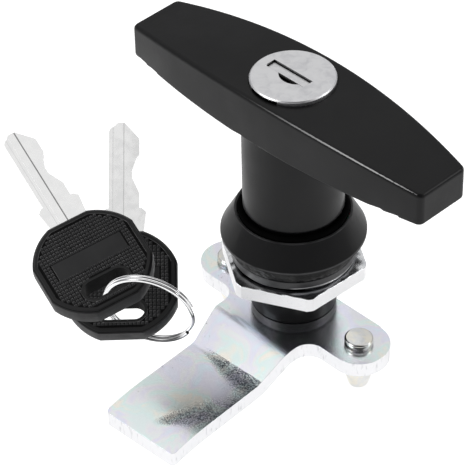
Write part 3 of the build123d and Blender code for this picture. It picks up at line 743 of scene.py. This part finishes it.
def panelNut():
    s = nutSizes
    low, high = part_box("panel_nut")
    half = s["flats"] / 2
    work = bmesh.new()
    columns = []
    for i in range(s["columns"]):
        degrees = 360 * i / s["columns"]
        reach = min(half / math.cos(math.radians(degrees % 60 - 30)), s["corner"])
        over = reach - half
        angle = math.radians(degrees + s["turn"])
        wave = sum(size * (1 + math.sin(count * angle + phase)) for count, phase, size in s["waves"])
        outline = [(s["bore"], low.z), (s["bore"], high.z), (s["seat"], high.z),
                   (s["seat"] + s["step"], high.z - s["step"]),
                   (reach, high.z - s["step"] - over * s["dip"] - wave), (reach, low.z)]
        columns.append([work.verts.new((r * math.cos(angle), r * math.sin(angle), z)) for r, z in outline])
    for first, second in zip(columns, columns[1:] + columns[:1]):
        for k in range(len(first)):
            work.faces.new((first[k], second[k], second[k - 1], first[k - 1]))
    bmesh.ops.recalc_face_normals(work, faces=work.faces)
    mesh = meshFrom(work, "panelNut")
    smoothed(mesh, s["crease"])
    draft = inScene("draft", mesh)
    breakEdges(draft, s["edge"], s["crease"])
    newPiece("panelNutWavy", baked(draft), "housing", "zinc_plate", ["panel_nut"])


panelNut()
print("nut made")


# The cam's arm leans a little and its tip sags softly, as pressing left it

armShape = {"start": -15.0 * mm, "end": -57.5 * mm, "half": 11.7 * mm, "lean": 2.1 * mm, "turn": 0.045,
            "sagStart": -45.0 * mm, "sag": 1.2 * mm, "strip": 0.8 * mm, "middle": -31.75 * mm, "tipDrop": 0.6 * mm,
            "slope": 0.153, "bends": ((-50.16 * mm, 0.616 * mm), (-49.84 * mm, 0.296 * mm))}


def leanArm(work):
    s = armShape
    y = s["start"]
    while y > s["end"]:
        everything = list(work.verts) + list(work.edges) + list(work.faces)
        bmesh.ops.bisect_plane(work, geom=everything, plane_co=(0, y, 0), plane_no=(0, 1, 0), dist=touching)
        y -= s["strip"]
    for v in work.verts:
        out = (s["start"] - v.co.y) / (s["start"] - s["end"])
        if out > 0:
            soft = max(0.0, (s["sagStart"] - v.co.y) / (s["sagStart"] - s["end"])) ** 2
            # the CAD's bend is taken out first, on the top and on the underside
            bend, half = s["bends"][0 if v.co.z + s["tipDrop"] > s["middle"] else 1]
            if v.co.y < bend - half:
                v.co.z += s["slope"] * (bend - v.co.y)
            elif v.co.y < bend + half:
                v.co.z += s["slope"] * (bend + half - v.co.y) ** 2 / (4 * half)
            v.co.y += s["turn"] * (v.co.x + s["half"]) * out
            v.co.x += s["lean"] * out
            v.co.z -= s["sag"] * soft


# Key blades: a wide groove on both sides, and how dark the corners of each key's groove are

bladeGroove = {"left": -2.5 * mm, "right": 0.45 * mm, "depth": 0.25 * mm, "start": 14.5 * mm, "end": 50 * mm,
               "blade": 2.0 * mm, "darkening": {1: 1.0, 2: 0.35}}


def grooveCutter(number):
    s = bladeGroove
    work = bmesh.new()
    for side in (-1, 1):
        level = side * s["blade"] / 2
        corners = [Vector((x, y, level + z)) for x in (s["left"], s["right"]) for y in (s["start"], s["end"])
                   for z in (-s["depth"], s["depth"])]
        bmesh.ops.convex_hull(work, input=[work.verts.new(corner) for corner in corners])
    bmesh.ops.recalc_face_normals(work, faces=work.faces)
    mesh = meshFrom(work, "grooveCutter")
    mesh.transform(keyPlace(number) @ Matrix.Translation((0, 0, -bowSizes["thickness"] / 2)))
    return bpy.data.objects.new("grooveCutter", mesh)


def keyAttributes(mesh, number):
    # where each point lies on its key, which the keys' finishes follow
    toKey = keyPlace(number).inverted()
    spots = mesh.attributes.new("keySpot", "FLOAT_VECTOR", "POINT")
    spots.data.foreach_set("vector", [value for v in mesh.vertices for value in toKey @ v.co])
    darkening = mesh.attributes.new("grooveDirt", "FLOAT", "POINT")
    darkening.data.foreach_set("value", [bladeGroove["darkening"][number]] * len(mesh.vertices))


# The handle: its bar's top is shaded as one shallow arc, and its neck's long facets as one round column

handleForm = {"neck": 12.8 * mm, "neckWithin": 0.04 * mm, "topCurve": 285.6 * mm, "topAbove": 42.2 * mm,
              "upward": 0.96, "sideways": 0.04, "level": 0.05, "outward": 0.9}


def trueShading(mesh):
    s = handleForm
    normals = [Vector(corner.vector) for corner in mesh.corner_normals]
    for face in mesh.polygons:
        onTop = face.normal.z > s["upward"] and abs(face.normal.y) < s["sideways"]
        for corner in face.loop_indices:
            spot = mesh.vertices[mesh.loops[corner].vertex_index].co
            outward = Vector((spot.x, spot.y, 0))
            if onTop and spot.z > s["topAbove"]:
                normals[corner] = Vector((spot.x, 0, math.sqrt(s["topCurve"] ** 2 - spot.x ** 2))).normalized()
            if abs(outward.length - s["neck"]) < s["neckWithin"] and abs(face.normal.z) < s["level"]:
                if face.normal.dot(outward.normalized()) > s["outward"]:
                    normals[corner] = outward.normalized()
    mesh.normals_split_custom_set(normals)


# The visible CAD parts, with broken edges of these widths

brokenEdges = {
    "housing": 0.1 * mm, "t_handle": 0.0, "clamp_washer": 0.15 * mm, "neck_seal": 0.0,
    "stop_washer": 0.1 * mm, "cam": 0.22 * mm, "rod_pin_left": 0.0, "rod_pin_right": 0.0,
    "cam_washer": 0.1 * mm, "spring_washer": 0.06 * mm, "cam_screw": 0.08 * mm, "face_cap": 0.05 * mm,
    "shutter": 0.03 * mm, "key_1_bow": 0.12 * mm, "key_2_bow": 0.12 * mm, "key_1_blade": 0.08 * mm,
    "key_2_blade": 0.08 * mm,
}
creaseAngle = 32.0
flatWithin = 0.4


def dressed(node, edge):
    # a copy of a CAD node with its flat faces joined up, its sharp edges broken and smooth shading
    mesh = nodes[node].data.copy()
    keyNumber = int(node.split("_")[1]) if node.startswith("key_") else None
    work = bmesh.new()
    work.from_mesh(mesh)
    bmesh.ops.remove_doubles(work, verts=work.verts, dist=touching)
    if edge:
        bmesh.ops.dissolve_limit(work, angle_limit=math.radians(flatWithin), verts=work.verts, edges=work.edges)
    if node == "cam":
        leanArm(work)
    work.to_mesh(mesh)
    work.free()
    smoothed(mesh, creaseAngle)
    draft = inScene("draft", mesh)
    if node.endswith("blade"):
        groove = draft.modifiers.new("groove", "BOOLEAN")
        groove.object = grooveCutter(keyNumber)
    if edge:
        breakEdges(draft, edge, creaseAngle)
    draft.modifiers.new("flatShading", "WEIGHTED_NORMAL").keep_sharp = True
    mesh = baked(draft)
    if keyNumber:
        keyAttributes(mesh, keyNumber)
    if node == "t_handle":
        trueShading(mesh)
    piece = newPiece(node + "_dressed", mesh, bodyOf[node], slotOf[node], [node])
    # the keys don't show in the cam's shine either
    piece.visible_glossy = not keyNumber


for node, edge in brokenEdges.items():
    dressed(node, edge)
print("parts dressed:", len(brokenEdges))


# Stage, light and camera

studio = {"floorDrop": 25 * mm, "floorHalf": 3.0, "floorColor": (0.9, 0.9, 0.9), "floorRough": 0.9,
          "floorGlow": 0.55,
          "sky": [(0.0, (0.3, 0.3, 0.31)), (0.3, (0.38, 0.38, 0.39)), (0.62, (0.76, 0.76, 0.76)),
                  (1.0, (1.0, 1.0, 1.0))],
          "skyPower": 1.05, "darkPower": 0.06, "darkToward": (0.62, 0.86), "darkAbove": (0.32, 0.46),
          "lamps": {"leftStrip": {"place": (-0.27, -0.64, 0.57), "size": 0.45, "power": 2.0},
                    "rightStrip": {"place": (0.6, 0.5, 0.48), "size": 0.3, "power": 0.9}},
          "lampAim": (0, 0, 0.02),
          "camera": (0.353808, -0.358866, 0.423599), "azimuth": 46.276, "elevation": 40.192, "roll": -1.3116,
          "lens": 200.33, "sensor": 36.0, "clip": (0.05, 20)}


def makeFloor():
    mesh = bpy.data.meshes.new("floor")
    half = studio["floorHalf"]
    level = cadBox[0][2] - studio["floorDrop"]
    corners = [(-half, -half, level), (half, -half, level), (half, half, level), (-half, half, level)]
    mesh.from_pydata(corners, [], [(0, 1, 2, 3)])
    f = Finish("paleFloor", **{"Roughness": studio["floorRough"], "Base Color": (*studio["floorColor"], 1.0),
                               "Emission Color": (1, 1, 1, 1), "Emission Strength": studio["floorGlow"]})
    mesh.materials.append(f.material)
    inScene("floor", mesh)


def makeSky():
    world = bpy.data.worlds.new("studio")
    world.use_nodes = True
    sky = NodeMaker(world.node_tree)
    outward = sky.node("ShaderNodeTexCoord")
    upward = sky.split(outward)[2]
    background = world.node_tree.nodes["Background"]
    sky.feed(background.inputs["Color"], sky.ramp(upward.clamped(), studio["sky"]))
    # the room behind the photographer is dark
    toward = sky.toward(outward, Vector(studio["camera"]).normalized())
    dark = toward.spread(*studio["darkToward"]) * upward.spread(*studio["darkAbove"])
    sky.feed(background.inputs["Strength"], studio["skyPower"] - dark * (studio["skyPower"] - studio["darkPower"]))
    bpy.context.scene.world = world


def softLight(name, place, size, power):
    light = bpy.data.lights.new(name, "AREA")
    light.size = size
    light.energy = power
    lamp = inScene(name, light)
    lamp.location = place
    lamp.rotation_euler = (Vector(studio["lampAim"]) - Vector(place)).to_track_quat("-Z", "Y").to_euler()


def makeCamera():
    eye = bpy.data.cameras.new("camera")
    eye.lens = studio["lens"]
    eye.sensor_width = studio["sensor"]
    eye.clip_start, eye.clip_end = studio["clip"]
    camera = inScene("camera", eye)
    aim = (Matrix.Rotation(math.radians(studio["azimuth"]), 4, "Z")
           @ Matrix.Rotation(math.radians(90 - studio["elevation"]), 4, "X")
           @ Matrix.Rotation(math.radians(studio["roll"]), 4, "Z"))
    camera.matrix_world = Matrix.Translation(studio["camera"]) @ aim
    bpy.context.scene.camera = camera
    bpy.context.scene.view_settings.view_transform = "Standard"


makeFloor()
makeSky()
for name, lamp in studio["lamps"].items():
    softLight(name, **lamp)
makeCamera()
print("studio lit")
